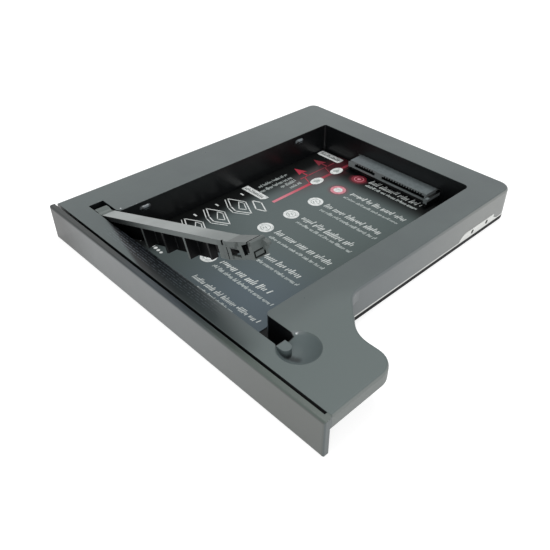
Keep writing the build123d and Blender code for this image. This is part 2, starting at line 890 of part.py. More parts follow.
def make_plug():
    """Housing of the slimline plug: an open shroud with one tongue, split by the key gap."""
    low, high, w = board_top, board_top + plug_height, plug_wall
    inside, middle, half = plug_front + plug_floor, (low + high) / 2, plug_tongue / 2
    body = box(plug_left, plug_right, plug_front, depth, low, high)
    body += box(plug_left, plug_right, board_rear + board_gap, depth, low - board_thickness, low + bite)
    body -= box(plug_left + w, plug_right - w, inside, depth + past, low + w, high - w)
    body += box(plug_left + 3 * w, plug_right - 3 * w, inside - bite, tongue_end,
                middle - half, middle + half)
    gap_x = plug_power_x - plug_signal_to_power / 2
    body -= box(gap_x - half, gap_x + half, inside, depth, middle - plug_tongue, middle + plug_tongue)
    for x in lock_row(plug_left, plug_right):
        body -= lock(x, plug_lock_y, screw_gap)
    return body


def make_plug_contacts(first, pitch, count):
    """Flat contacts on the tongue's upper face."""
    low, rear = board_top + (plug_height + plug_tongue) / 2, tongue_end - bite
    solids = []
    for k in range(count):
        left = first + k * pitch - contact_width / 2
        strip = box(left, left + contact_width, rear - plug_contact_length, rear,
                    low, low + contact_thickness)
        solids.append(strip.solid())
    return Compound(solids)


def make_locks(places):
    """The board locks of one housing."""
    return Compound([lock(x, y).solid() for x, y in places])


def make_chips(size, x0, y):
    """A row of chip parts on the board's upper face."""
    solids = []
    for k in range(chip_count):
        x = x0 + k * chip_pitch
        solids.append(box(x, x + size[0], y, y + size[1], board_top, board_top + size[2]).solid())
    return Compound(solids)


def make_all():
    """Every node of the caddy."""
    signal, power = contact_places()
    locks = lock_places()
    chip_x, chip_y = receptacle_left + chip_inset, board_rear - chip_row
    return {
        "tray": make_tray(),
        "front_bezel": make_bezel(),
        "base_plate": make_base_plate(),
        "floor_label": make_label(),
        "lever": make_lever(),
        "lever_pin": make_lever_pin(),
        "drive_receptacle": make_receptacle(),
        "drive_signal_contacts": make_drive_contacts(signal),
        "drive_power_contacts": make_drive_contacts(power),
        "receptacle_board_locks": make_locks(locks[:2]),
        "adapter_board": make_board(),
        "rear_plug": make_plug(),
        "rear_signal_contacts": make_plug_contacts(plug_signal_x, contact_pitch, signal_count),
        "rear_power_contacts": make_plug_contacts(plug_power_x, plug_power_pitch, plug_power_count),
        "plug_board_locks": make_locks(locks[2:]),
        "board_capacitors": make_chips(chip_size, chip_x, chip_y),
        "board_resistors": make_chips(resistor_size, chip_x + chip_count * chip_pitch, chip_y),
        "board_screws": make_board_screws(),
        "base_screws": make_base_screws(),
    }


def placed(piece):
    """The piece's solids, each moved back by half the depth."""
    solids = [Pos(0, -depth / 2, 0) * solid for solid in piece.solids()]
    return solids[0] if len(solids) == 1 else Compound(solids)


os.makedirs("parts", exist_ok=True)
for name, piece in make_all().items():
    export_step(placed(piece), "parts/" + name + ".step")
    print(name, round(piece.volume, 2))
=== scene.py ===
import math
import random

import bmesh
import bpy
from mathutils import Matrix, Vector


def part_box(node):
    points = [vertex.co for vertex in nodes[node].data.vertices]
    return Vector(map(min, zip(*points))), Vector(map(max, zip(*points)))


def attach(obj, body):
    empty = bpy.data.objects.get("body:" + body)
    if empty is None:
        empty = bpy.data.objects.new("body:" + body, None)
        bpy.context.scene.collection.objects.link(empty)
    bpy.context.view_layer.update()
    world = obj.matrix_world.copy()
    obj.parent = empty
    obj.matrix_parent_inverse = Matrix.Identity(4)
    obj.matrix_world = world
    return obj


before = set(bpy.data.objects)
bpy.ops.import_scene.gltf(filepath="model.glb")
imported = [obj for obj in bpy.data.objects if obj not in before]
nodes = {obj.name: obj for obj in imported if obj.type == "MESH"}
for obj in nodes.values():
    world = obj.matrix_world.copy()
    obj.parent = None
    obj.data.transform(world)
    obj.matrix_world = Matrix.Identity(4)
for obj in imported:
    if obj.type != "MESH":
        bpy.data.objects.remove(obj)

# Drive caddy: finishes, printed label, floor, lights and camera.
# The scene is in metres in the caddy's own frame. Lengths in the dictionaries are millimetres
# where no note says metres: x from the middle, y back from the bezel's front face, z up.

scene = bpy.context.scene
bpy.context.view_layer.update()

caddy = {
    "halfDepth": 64.25,      # bezel's front face to the middle of the footprint
    "pocketX": (-45.2, 26.9),
    "pocketY": (9.35, 116.35),
    "hingeNotchX": (-55.0, -45.0),
    "hingeNotchY": (9.35, 15.15),
    "latchNotchX": (26.0, 38.05),
    "latchNotchY": (9.35, 15.85),
}


def mm(value):
    return value / 1000.0


def fromFront(y):    # a distance behind the bezel's front face to the frame's own y
    return mm(y - caddy["halfDepth"])


def inMetres(values):
    return [mm(value) for value in values]


def behindFront(values):
    return [fromFront(value) for value in values]


def spot(x, y, z=0.0):    # a point in millimetres to the frame's metres
    return Vector((mm(x), fromFront(y), mm(z)))


def tone(red, green, blue):    # a colour as a screen shows it, 0 to 255, made linear
    parts = []
    for part in (red, green, blue):
        part = part / 255.0
        parts.append(part / 12.92 if part <= 0.04045 else ((part + 0.055) / 1.055) ** 2.4)
    return (*parts, 1.0)


# 1 less the cosine between an edge's rounded normal and the face's own, where the painted edge highlight
# begins and is full
edgeHighlightReach = (0.02, 0.18)


# Node shorthand, used by every finish
class Finish:
    def __init__(self, name):
        self.material = bpy.data.materials.new(name)
        self.material.use_nodes = True
        self.tree = self.material.node_tree
        self.shader = self.tree.nodes["Principled BSDF"]
        self.place = self.add("ShaderNodeTexCoord").outputs["Object"]

    def add(self, kind, inputs=None, **settings):
        made = self.tree.nodes.new(kind)
        for key, value in settings.items():
            setattr(made, key, value)
        for key, value in (inputs or {}).items():
            self.feed(made.inputs[key], value)
        return made

    def feed(self, socket, value):
        if isinstance(value, bpy.types.NodeSocket):
            self.tree.links.new(value, socket)
        else:
            socket.default_value = value

    def give(self, **inputs):    # underscores stand for spaces in the shader's socket names
        for key, value in inputs.items():
            self.feed(self.shader.inputs[key.replace("_", " ")], value)

    def calc(self, operation, first, second=0.0):
        return self.add("ShaderNodeMath", {0: first, 1: second}, operation=operation).outputs[0]

    def product(self, first, *others):
        for other in others:
            first = self.calc("MULTIPLY", first, other)
        return first

    def largest(self, first, *others):
        for other in others:
            first = self.calc("MAXIMUM", first, other)
        return first

    def mix(self, amount, first, second):
        made = self.add("ShaderNodeMix", data_type="RGBA")
        self.feed(made.inputs["Factor"], amount)
        self.feed([s for s in made.inputs if s.name == "A" and s.type == "RGBA"][0], first)
        self.feed([s for s in made.inputs if s.name == "B" and s.type == "RGBA"][0], second)
        return [s for s in made.outputs if s.type == "RGBA"][0]

    def axes(self, vector=None):
        return self.add("ShaderNodeSeparateXYZ", {0: vector or self.place}).outputs

    def facing(self):    # where the face looks, as three axes
        return self.axes(self.add("ShaderNodeNewGeometry").outputs["Normal"])

    def away(self, centre):    # distance from a point
        measured = self.add("ShaderNodeVectorMath", {0: self.place, 1: centre}, operation="DISTANCE")
        return measured.outputs["Value"]

    def rise(self, value, start, end):    # 0 before start, 1 after end
        return self.add("ShaderNodeMapRange", {
            "Value": value, "From Min": start, "From Max": end}, interpolation_type="SMOOTHSTEP").outputs[0]

    def spread(self, value, low, high):    # 0 to 1 stretched to low to high
        return self.add("ShaderNodeMapRange", {"Value": value, "To Min": low, "To Max": high}).outputs[0]

    def band(self, value, low, high, soft):
        up = self.rise(value, low - soft, low + soft)
        down = self.rise(value, high + soft, high - soft)
        return self.product(up, down)

    def noise(self, scale, detail=2.0, roughness=0.5, vector=None):
        made = self.add("ShaderNodeTexNoise", {
            "Vector": vector or self.place, "Scale": scale, "Detail": detail, "Roughness": roughness})
        return made.outputs["Fac"]

    def patches(self, scale, detail, start, end):    # uneven areas, from a noise
        return self.rise(self.noise(scale, detail), start, end)

    def bevel(self, radius):
        return self.add("ShaderNodeBevel", {"Radius": radius}, samples=6).outputs[0]

    def edgeHighlight(self, softNormal):    # 1 on the line of an edge, where the painted edge highlight goes
        face = self.add("ShaderNodeNewGeometry").outputs["Normal"]
        dot = self.add("ShaderNodeVectorMath", {0: softNormal, 1: face}, operation="DOT_PRODUCT")
        return self.rise(self.calc("SUBTRACT", 1.0, dot.outputs["Value"]), *edgeHighlightReach)

    def bump(self, height, strength, distance, normal=None):
        made = self.add("ShaderNodeBump", {
            "Strength": strength, "Distance": distance, "Height": height})
        if normal is not None:
            self.feed(made.inputs["Normal"], normal)
        return made.outputs[0]


def dress(nodeName, finish):
    thing = nodes[nodeName]
    if not thing.data.materials:
        thing.data.materials.append(finish.material)
    for slot in thing.material_slots:
        slot.material = finish.material


# How far a face's normal has to lean along an axis before a mask takes it, from none to all
lean = {
    "front": (-0.6, -0.9),
    "under": (-0.4, -0.6),
    "right": (0.3, 0.7),
    "up": (0.5, 0.8),
}

# Painted outside of the tray and bezel, and the bare black moulding inside
paint = {
    "top": tone(76, 86, 86),
    "patch": tone(70, 79, 80),
    "patches": (38, 3.0, 0.35, 0.68),    # scale, detail, from and to
    # lighter edge lines in patches on the paint: painted edge highlight
    "edgeLit": tone(116, 124, 122),
    "edgeLitShare": 0.3,
    "litEdges": (420, 4.0, 0.36, 0.62),
    "landX": (-30.0, -5.0, 6.0, 34.0),    # the bezel's top edge: left, dark middle, right
    "land": (tone(38, 43, 43), tone(44, 53, 59), tone(76, 86, 81)),
    "slot": tone(4, 5, 6),                # painted shade in the slot behind the bezel's face, on the tray and on the bezel
    "slotWall": {"y": (4.5, 4.3), "z": (12.66, 12.5)},
    "slotLand": {"x": (62.0, 61.5), "y": (2.6, 2.9)},
    "moulding": tone(10, 12, 14),
    # painted edge highlight on the black moulding
    "mouldingEdgeLit": tone(50, 57, 60),
    "mouldingShare": 0.5,
    "insideZ": (12.62, 12.48),            # the black starts just under the top face
    "insideSoft": 0.06,
    "roughness": (0.25, 0.35),
    "roughNoise": (260, 5.0),
    "speckle": (5200, 2.0, 0.6),
    "bump": (0.16, 0.00004),              # strength, and distance in metres
    "edge": 0.00022,                      # metres
    "chips": [(38.15, 16.74, 12.22, 0.62), (-46.2, 16.6, 12.7, 0.5)],    # x, y, z and radius of bare specks
    "chipRagged": (2400, 2.0),
    "chipSoft": (1.25, 0.75),    # times the radius
    "chip": tone(218, 223, 224),
    # the strip's dark tone is painted shade of the raised lever
    "strip": {"x": (-22.0, 33.0), "y": (2.9, 9.5), "slant": 0.233, "start": -0.6, "soft": (0.5, 0.7),
              "edge": 0.1, "tone": tone(6, 8, 12)},
    "lines": {"x": (-37.0, 16.0), "y": (5.2, 9.35), "soft": (5.0, 0.5), "pitch": 0.8, "cut": (0.3, 0.9),
              "dashes": (1100, 1900, 1100), "noise": (1.0, 1.0, 0.5), "broken": (0.42, 0.54),
              "tone": tone(96, 104, 112)},
    "frontX": (-62.0, -34.0, 0.0, 56.0),    # the bezel's face: dark end, lightest part, right end
    "front": (tone(28, 32, 30), tone(97, 101, 102), tone(84, 88, 85)),
    "sideY": (45.0, 116.0),                 # painted light: the right side grows lighter toward the rear
    "side": (tone(96, 102, 104), tone(120, 123, 121)),
    "wingSide": tone(112, 117, 115),        # and the wing's end has its own, lighter tone, also painted light
    "wingX": (56.0, 60.0),
    "dish": {"place": (42.8, 13.1, 12.7), "radius": 6.3, "fade": 0.6, "z": (12.68, 12.4),
             "roughness": 0.62, "tone": tone(79, 90, 91)},    # finger-worn and matt; its tone, lighter than the top, is painted light
    # painted shade on the dish's left wall
    "dishShade": {"places": [(40.2, 10.3, 10.3), (41.2, 10.6, 9.9), (42.3, 11.1, 9.6), (43.3, 11.7, 9.5)],
             "radius": 1.9, "core": 0.2, "amount": 0.85, "tone": tone(24, 30, 32)},
    "wing": {"x": (18.0, 44.0), "y": (62.0, 30.0), "roughness": 0.55, "tone": tone(82, 93, 92)},
    # the bumps' lighter tone is a painted highlight
    "nubs": {"x": (-45.2, 26.9), "y": (25.2, 100.5), "z": 10.1, "reach": (1.3, 2.6), "fade": (1.0, 0.85),
             "lean": (0.999, 0.97), "tone": tone(98, 106, 110)},
}


def insideMask(finish):    # 1 inside the pocket, the lane and its two notches, below the top face
    x, y, z = finish.axes()
    soft = mm(paint["insideSoft"])
    masks = []
    for part in ("pocket", "hingeNotch", "latchNotch"):
        across = finish.band(x, *inMetres(caddy[part + "X"]), soft)
        along = finish.band(y, *behindFront(caddy[part + "Y"]), soft)
        masks.append(finish.product(across, along))
    return finish.product(finish.largest(*masks), finish.rise(z, *inMetres(paint["insideZ"])))


def leverShadeMask(finish):    # painted shade of the raised lever on the strip in front of the lane, which starts on a slant
    zone = paint["strip"]
    x, y = finish.axes()[:2]
    fade = finish.rise(x, mm(zone["x"][1]), mm(zone["x"][0]))
    slanted = finish.calc("ADD", y, finish.product(x, zone["slant"]))
    start = fromFront(zone["start"])
    before, after = inMetres(zone["soft"])
    begun = finish.rise(slanted, start - before, start + after)
    along = finish.band(y, *behindFront(zone["y"]), mm(zone["edge"]))
    return finish.product(fade, begun, along)


def lineMask(finish):    # fine, broken light lines in that zone
    lines = paint["lines"]
    x, y = finish.axes()[:2]
    softX, softY = inMetres(lines["soft"])
    across = finish.band(x, *inMetres(lines["x"]), softX)
    along = finish.band(y, *behindFront(lines["y"]), softY)
    wave = finish.calc("SINE", finish.product(y, 2 * math.pi / mm(lines["pitch"])))
    cut = finish.rise(wave, *lines["cut"])
    dashes = finish.add("ShaderNodeMapping", {"Vector": finish.place, "Scale": lines["dashes"]}).outputs[0]
    broken = finish.rise(finish.noise(*lines["noise"], dashes), *lines["broken"])
    return finish.product(across, along, cut, broken)


def ramp(finish, value, stops, colours):    # colours that follow each other along a value
    colour = colours[0]
    for (start, end), after in zip(stops, colours[1:]):
        colour = finish.mix(finish.rise(value, start, end), colour, after)
    return colour


def chipMask(finish):    # bare ragged specks at the notch corners
    total = 0.0
    for x, y, z, size in paint["chips"]:
        radius = mm(size)
        ragged = finish.product(finish.noise(*paint["chipRagged"]), radius)
        reach = finish.calc("ADD", finish.away(spot(x, y, z)), ragged)
        outer, inner = [radius * share for share in paint["chipSoft"]]
        total = finish.largest(finish.rise(reach, outer, inner), total)
    return total


def dishMask(finish):    # 1 in the finger dish, below the top face
    dish = paint["dish"]
    edge = dish["radius"]
    near = finish.rise(finish.away(spot(*dish["place"])), mm(edge), mm(edge - dish["fade"]))
    return finish.product(near, finish.rise(finish.axes()[2], *inMetres(dish["z"])))


def dishShadeMask(finish):    # painted shade on the dish's left wall
    dishShade = paint["dishShade"]
    total = 0.0
    for place in dishShade["places"]:
        here = finish.rise(finish.away(spot(*place)), mm(dishShade["radius"]), mm(dishShade["radius"] * dishShade["core"]))
        total = finish.largest(here, total)
    return finish.product(total, dishShade["amount"])


def nubHighlightMask(finish):    # painted highlight on the bumps of the pocket's side walls
    nubs = paint["nubs"]
    short, long = inMetres(nubs["reach"])
    total = 0.0
    for x in nubs["x"]:
        for y in nubs["y"]:
            away = finish.add("ShaderNodeVectorMath", {
                0: finish.place, 1: spot(x, y, nubs["z"])}, operation="SUBTRACT").outputs[0]
            squeezed = finish.add("ShaderNodeVectorMath", {
                0: away, 1: (1 / short, 1 / long, 1 / short)}, operation="MULTIPLY").outputs[0]
            length = finish.add("ShaderNodeVectorMath", {0: squeezed}, operation="LENGTH").outputs["Value"]
            total = finish.largest(finish.rise(length, *nubs["fade"]), total)
    sideways = finish.calc("ABSOLUTE", finish.facing()[0])
    return finish.product(total, finish.rise(sideways, *nubs["lean"]))


def wingMask(finish):    # grows toward the wing
    x, y = finish.axes()[:2]
    return finish.product(finish.rise(x, *inMetres(paint["wing"]["x"])),
                          finish.rise(y, *behindFront(paint["wing"]["y"])))


def trayColour(finish, colour, wing, dish):
    x, y, z = finish.axes()
    facing = finish.facing()
    colour = finish.mix(wing, colour, paint["wing"]["tone"])
    # painted light: faces that look right take a lighter tone, growing toward the rear and at the wing's end
    side = ramp(finish, y, [behindFront(paint["sideY"])], paint["side"])
    side = finish.mix(finish.rise(x, *inMetres(paint["wingX"])), side, paint["wingSide"])
    colour = finish.mix(finish.rise(facing[0], *lean["right"]), colour, side)
    # painted light: the dish is lighter than the top around it
    colour = finish.mix(dish, colour, paint["dish"]["tone"])
    # painted shade in the dish
    colour = finish.mix(dishShadeMask(finish), colour, paint["dishShade"]["tone"])
    # painted shade of the raised lever on the strip
    colour = finish.mix(leverShadeMask(finish), colour, paint["strip"]["tone"])
    colour = finish.mix(lineMask(finish), colour, paint["lines"]["tone"])
    colour = finish.mix(chipMask(finish), colour, paint["chip"])
    # painted shade on the tray's wall inside the slot
    wall = paint["slotWall"]
    slotWall = finish.product(finish.rise(facing[1], *lean["front"]), finish.rise(z, *inMetres(wall["z"])),
                              finish.rise(y, *behindFront(wall["y"])))
    return finish.mix(slotWall, colour, paint["slot"])


def bezelColour(finish, colour):
    x, y = finish.axes()[:2]
    facing = finish.facing()
    stops = inMetres(paint["frontX"])
    front = ramp(finish, x, [stops[:2], stops[2:]], paint["front"])
    colour = finish.mix(finish.rise(facing[1], *lean["front"]), colour, front)
    stops = inMetres(paint["landX"])
    land = ramp(finish, x, [stops[:2], stops[2:]], paint["land"])
    colour = finish.mix(finish.rise(facing[2], *lean["up"]), colour, land)
    # painted shade on the bezel where it meets the slot
    gap = paint["slotLand"]
    hidden = finish.product(finish.rise(y, *behindFront(gap["y"])), finish.rise(x, *inMetres(gap["x"])))
    return finish.mix(hidden, colour, paint["slot"])


def paintedFinish(name, isTray):
    finish = Finish(name)
    soft = finish.bevel(paint["edge"])
    # painted edge highlight along rounded edges, broken into patches
    litEdges = finish.product(finish.edgeHighlight(soft), finish.patches(*paint["litEdges"]))
    colour = finish.mix(finish.patches(*paint["patches"]), paint["top"], paint["patch"])
    colour = finish.mix(finish.product(litEdges, paint["edgeLitShare"]), colour, paint["edgeLit"])
    black = finish.mix(finish.product(litEdges, paint["mouldingShare"]),
                       paint["moulding"], paint["mouldingEdgeLit"])
    inside = finish.rise(finish.facing()[2], *lean["under"])
    rough = finish.spread(finish.noise(*paint["roughNoise"]), *paint["roughness"])
    if isTray:
        wing, dish = wingMask(finish), dishMask(finish)
        colour = trayColour(finish, colour, wing, dish)
        # painted highlight on the side-wall bumps
        black = finish.mix(nubHighlightMask(finish), black, paint["nubs"]["tone"])
        inside = finish.largest(inside, insideMask(finish))
        rough = finish.largest(rough, finish.product(dish, paint["dish"]["roughness"]),
                               finish.product(wing, paint["wing"]["roughness"]))
    else:
        colour = bezelColour(finish, colour)
    finish.give(Base_Color=finish.mix(inside, colour, black), Roughness=rough,
                Normal=finish.bump(finish.noise(*paint["speckle"]), *paint["bump"], soft))
    return finish


dress("tray", paintedFinish("trayPaint", True))
dress("front_bezel", paintedFinish("bezelPaint", False))
print("tray and bezel painted")

# Sheet metal: dark below the upturned edge, which is painted contact shade along the bottom and inside the
# pocket; bare along the upturned edge and the lug
sheet = {
    "bare": tone(218, 219, 216),
    "bareDull": tone(192, 194, 192),
    # lowShade: painted contact shade along the bottom edge
    "lowShade": tone(13, 15, 17),
    "lowShadeEdgeLit": tone(40, 44, 46),
    "edgeLitShare": 0.7,
    "bareFrom": (2.2, 2.4),
    "grain": (60, 60, 9000),
    "roughness": {"bare": 0.32, "lowShade": 0.52},
    "metallic": 0.85,
    "edge": 0.00012,    # metres
    "roll": (1.0, 3.0, 0.6),
    "speckle": (2600, 2.0),
    "bump": (0.12, 0.00003),
    "specular": 0.1,
}


def sheetFinish():
    finish = Finish("sheetMetal")
    bare = finish.rise(finish.axes()[2], *inMetres(sheet["bareFrom"]))
    stretched = finish.add("ShaderNodeMapping", {"Vector": finish.place, "Scale": sheet["grain"]}).outputs[0]
    rolled = finish.noise(*sheet["roll"], stretched)
    soft = finish.bevel(sheet["edge"])
    metal = finish.mix(rolled, sheet["bareDull"], sheet["bare"])
    # painted contact shade below 2.2 mm, with a painted edge highlight on its edges
    black = finish.mix(finish.product(finish.edgeHighlight(soft), sheet["edgeLitShare"]),
                       sheet["lowShade"], sheet["lowShadeEdgeLit"])
    rough = finish.spread(bare, sheet["roughness"]["lowShade"], sheet["roughness"]["bare"])
    finish.give(Base_Color=finish.mix(bare, black, metal), Metallic=finish.product(bare, sheet["metallic"]),
                Roughness=rough, Normal=finish.bump(finish.noise(*sheet["speckle"]), *sheet["bump"], soft))
    finish.shader.inputs["Specular IOR Level"].default_value = sheet["specular"]
    return finish


dress("base_plate", sheetFinish())
print("sheet metal done")

# Lever: grey painted top and latch, black below. Its own coordinates run along its length from the hinge.
lever = {
    "hinge": (-0.0503, -0.05215, 0.0087),    # metres
    "lift": 19.1,                            # degrees
    "front": 9.85,
    "topPaint": tone(153, 158, 157),
    "topPatch": tone(145, 150, 149),
    "patches": (90, 3.0, 0.35, 0.65),    # scale, detail, from and to
    "topUp": (1.9, 2.1),                 # the painted top starts at this height
    # painted light and shade along the top: lighter near the root, darker toward the end and on the barrel
    "rootLight": tone(160, 165, 164),
    "rootAlong": (30.0, 8.0),
    "endShade": tone(120, 126, 125),
    "endAlong": (54.0, 70.0),
    "barrelShade": tone(97, 104, 102),
    "barrelAlong": (5.6, 4.4),
    "latch": tone(88, 94, 93),
    "latchAlong": (69.0, 72.0),
    "latchFrom": 69.8,       # from here on the front face is painted to its lower edge
    "tipAlong": (84.85, 84.92),
    "insertAlong": (84.7, 84.8),
    "ledgeAlong": (74.5, 75.0),
    "grime": tone(36, 42, 41),
    "grimePatches": (620, 3.0, 0.5, 0.66),
    "grimeAlong": (70.0, 76.0),
    "lip": tone(100, 106, 105),
    # lipShade: painted shade, the lip goes black toward the hinge
    "lipShade": tone(8, 9, 10),
    "lipAlong": (14.0, 44.0),
    "lipUp": (0.8, 0.95),
    "outer": (0.3, 0.15),    # how far behind the front face its paint ends
    # painted edge highlight along the lever's edges, in patches; the shares below give how much of it the
    # top, lip and black take, and how strong the grime is
    "edgeLit": tone(176, 181, 180),
    "litEdges": (600, 4.0, 0.3, 0.6),
    "shares": {"top": 0.6, "lip": 0.5, "black": 0.9, "grime": 0.7},
    "black": tone(6, 7, 8),
    "blackEdgeLit": tone(62, 67, 68),
    "ribs": [(27.0, 33.0, 0.3), (50.0, 56.0, 0.85)],    # from, to and how much paint their edges took
    "lean": {"top": (0.25, 0.45), "front": (-0.6, -0.8), "insert": (0.7, 0.9), "ledge": (0.5, 0.7)},
    "soft": 0.1,             # soft ends of the paint along the lever
    "roughness": (0.32, 0.45),
    "roughNoise": (500, 4.0),
    "speckle": (4200, 2.0),
    "bump": (0.14, 0.00004),
    "edge": 0.00016,         # metres
    "specular": 0.15,
}


def leverFinish():
    finish = Finish("leverPlastic")
    local = finish.add("ShaderNodeMapping", {
        "Vector": finish.place, "Location": lever["hinge"],
        "Rotation": (0.0, -math.radians(lever["lift"]), 0.0)}, vector_type="TEXTURE").outputs[0]
    along, across, up = finish.axes(local)
    face = finish.add("ShaderNodeVectorRotate", {
        "Vector": finish.add("ShaderNodeTexCoord").outputs["Normal"],
        "Angle": math.radians(lever["lift"])}, rotation_type="Y_AXIS").outputs[0]
    facingAlong, facingAcross, facingUp = finish.axes(face)
    soft = finish.bevel(lever["edge"])
    # painted edge highlight, broken into patches
    litEdges = finish.product(finish.edgeHighlight(soft), finish.patches(*lever["litEdges"]))
    shares = lever["shares"]

    grey = finish.mix(finish.patches(*lever["patches"]), lever["topPaint"], lever["topPatch"])
    # painted light and shade along the lever's top
    for key, part in (("rootAlong", "rootLight"), ("endAlong", "endShade"), ("barrelAlong", "barrelShade")):
        grey = finish.mix(finish.rise(along, *inMetres(lever[key])), grey, lever[part])
    grey = finish.mix(finish.product(litEdges, shares["top"]), grey, lever["edgeLit"])
    # painted shade: the lip darkens to black toward the hinge
    lip = finish.mix(finish.rise(along, *inMetres(lever["lipAlong"])), lever["lipShade"], lever["lip"])
    lip = finish.mix(finish.rise(along, *inMetres(lever["latchAlong"])), lip, lever["latch"])
    grime = finish.product(finish.patches(*lever["grimePatches"]),
                           finish.rise(along, *inMetres(lever["grimeAlong"])), shares["grime"])
    lip = finish.mix(grime, lip, lever["grime"])
    lip = finish.mix(finish.product(litEdges, shares["lip"]), lip, lever["edgeLit"])
    black = finish.mix(finish.product(litEdges, shares["black"]), lever["black"], lever["blackEdgeLit"])

    leans, edge = lever["lean"], mm(lever["soft"])
    isTop = finish.product(finish.rise(facingUp, *leans["top"]), finish.rise(up, *inMetres(lever["topUp"])))
    front = fromFront(lever["front"]) - lever["hinge"][1]
    behind, before = inMetres(lever["outer"])
    isFront = finish.product(finish.rise(facingAcross, *leans["front"]),
                             finish.rise(across, front + behind, front + before))
    low, high = inMetres(lever["lipUp"])
    isLip = finish.product(isFront, finish.rise(up, low, high))
    latchFrom = mm(lever["latchFrom"])
    isLatch = finish.product(isFront, finish.rise(along, latchFrom, latchFrom + edge))
    ribPaint = 0.0
    for start, end, amount in lever["ribs"]:
        here = finish.product(finish.band(along, mm(start), mm(end), edge), amount)
        ribPaint = finish.largest(here, ribPaint)
    isRib = finish.product(isFront, ribPaint, finish.rise(up, high, low))
    isTip = finish.rise(along, *inMetres(lever["tipAlong"]))
    isInsert = finish.product(finish.rise(facingAlong, *leans["insert"]),
                              finish.rise(along, *inMetres(lever["insertAlong"])))
    isLedge = finish.product(finish.rise(facingUp, *leans["ledge"]),
                             finish.rise(along, *inMetres(lever["ledgeAlong"])))
    colour = finish.mix(isRib, black, lever["lip"])
    colour = finish.mix(isTop, colour, grey)
    colour = finish.mix(finish.largest(isLip, isLatch), colour, lip)
    colour = finish.mix(finish.largest(isTip, isInsert, isLedge), colour, lever["latch"])
    rough = finish.spread(finish.noise(*lever["roughNoise"]), *lever["roughness"])
    finish.give(Base_Color=colour, Roughness=rough,
                Normal=finish.bump(finish.noise(*lever["speckle"]), *lever["bump"], soft))
    finish.shader.inputs["Specular IOR Level"].default_value = lever["specular"]
    return finish


dress("lever", leverFinish())
print("lever done")

# Small hardware and the parts behind the pocket: main tone, patches, roughness and metallic
hardware = {
    # the connector's grey is painted highlight on its black housing
    "connector": (tone(106, 114, 116), tone(96, 104, 106), 0.40, 0.0),
    "plug": (tone(30, 31, 33), tone(22, 23, 25), 0.45, 0.0),
    "contact": (tone(226, 190, 120), tone(196, 158, 92), 0.26, 1.0),
    "lock": (tone(190, 192, 194), tone(160, 162, 165), 0.34, 1.0),
    "pin": (tone(198, 200, 203), tone(170, 172, 176), 0.24, 1.0),
    "screw": (tone(120, 122, 126), tone(90, 92, 96), 0.34, 1.0),
    "board": (tone(20, 62, 40), tone(14, 50, 32), 0.38, 0.0),
    "capacitor": (tone(150, 120, 88), tone(176, 148, 116), 0.5, 0.0),
    "resistor": (tone(22, 22, 24), tone(38, 38, 41), 0.4, 0.0),
}


hardwareLook = {
    "edge": 0.00006,                 # metres
    "patches": (3.0, 0.35, 0.65),    # detail, from and to
    "lighter": (1.9, 0.02),          # painted edge highlight: times the main tone, and this much more
    "edgeLitShare": 0.5,
    "roughNoise": (3, 3.0),          # times the scale of the patches, and detail
    "roughReach": (0.05, 0.08),      # below and above the roughness in the list
    "speckle": (5200, 2.0),
    "bump": (0.1, 0.00003),
}


def smallFinish(key, scale=900):
    main, patch, roughness, metallic = hardware[key]
    look = hardwareLook
    finish = Finish(key + "Finish")
    soft = finish.bevel(look["edge"])
    colour = finish.mix(finish.patches(scale, *look["patches"]), main, patch)
    times, more = look["lighter"]
    light = tuple(min(1.0, part * times + more) for part in main[:3]) + (1.0,)
    # painted edge highlight
    colour = finish.mix(finish.product(finish.edgeHighlight(soft), look["edgeLitShare"]), colour, light)
    finer, detail = look["roughNoise"]
    below, above = look["roughReach"]
    rough = finish.spread(finish.noise(scale * finer, detail), roughness - below, roughness + above)
    finish.give(Base_Color=colour, Roughness=rough,
                Normal=finish.bump(finish.noise(*look["speckle"]), *look["bump"], soft))
    finish.shader.inputs["Metallic"].default_value = metallic
    return finish


receptacle = {
    "z": (3.8, 3.9),             # the housing is black below this,
    "lipZ": (3.0, 3.9),          # apart from the lip under its mouth
    "lipSoft": 0.05,
    "front": 110.0,              # just behind its front face
    "step": 0.1,
    "mouthZ": (5.85, 5.75),
    "outerX": (2.6, 2.4),        # the right end's outer face, measured from its right side
    "lean": {"lip": (0.7, 0.4), "outer": (0.6, 0.8), "front": (-0.6, -0.8)},
    "ends": (-24.0, -14.0),      # the left end is lighter: painted highlight
    "left": tone(106, 112, 115),
    "lip": tone(118, 124, 125),
    "black": tone(5, 6, 7),
    "specular": 0.3,
}


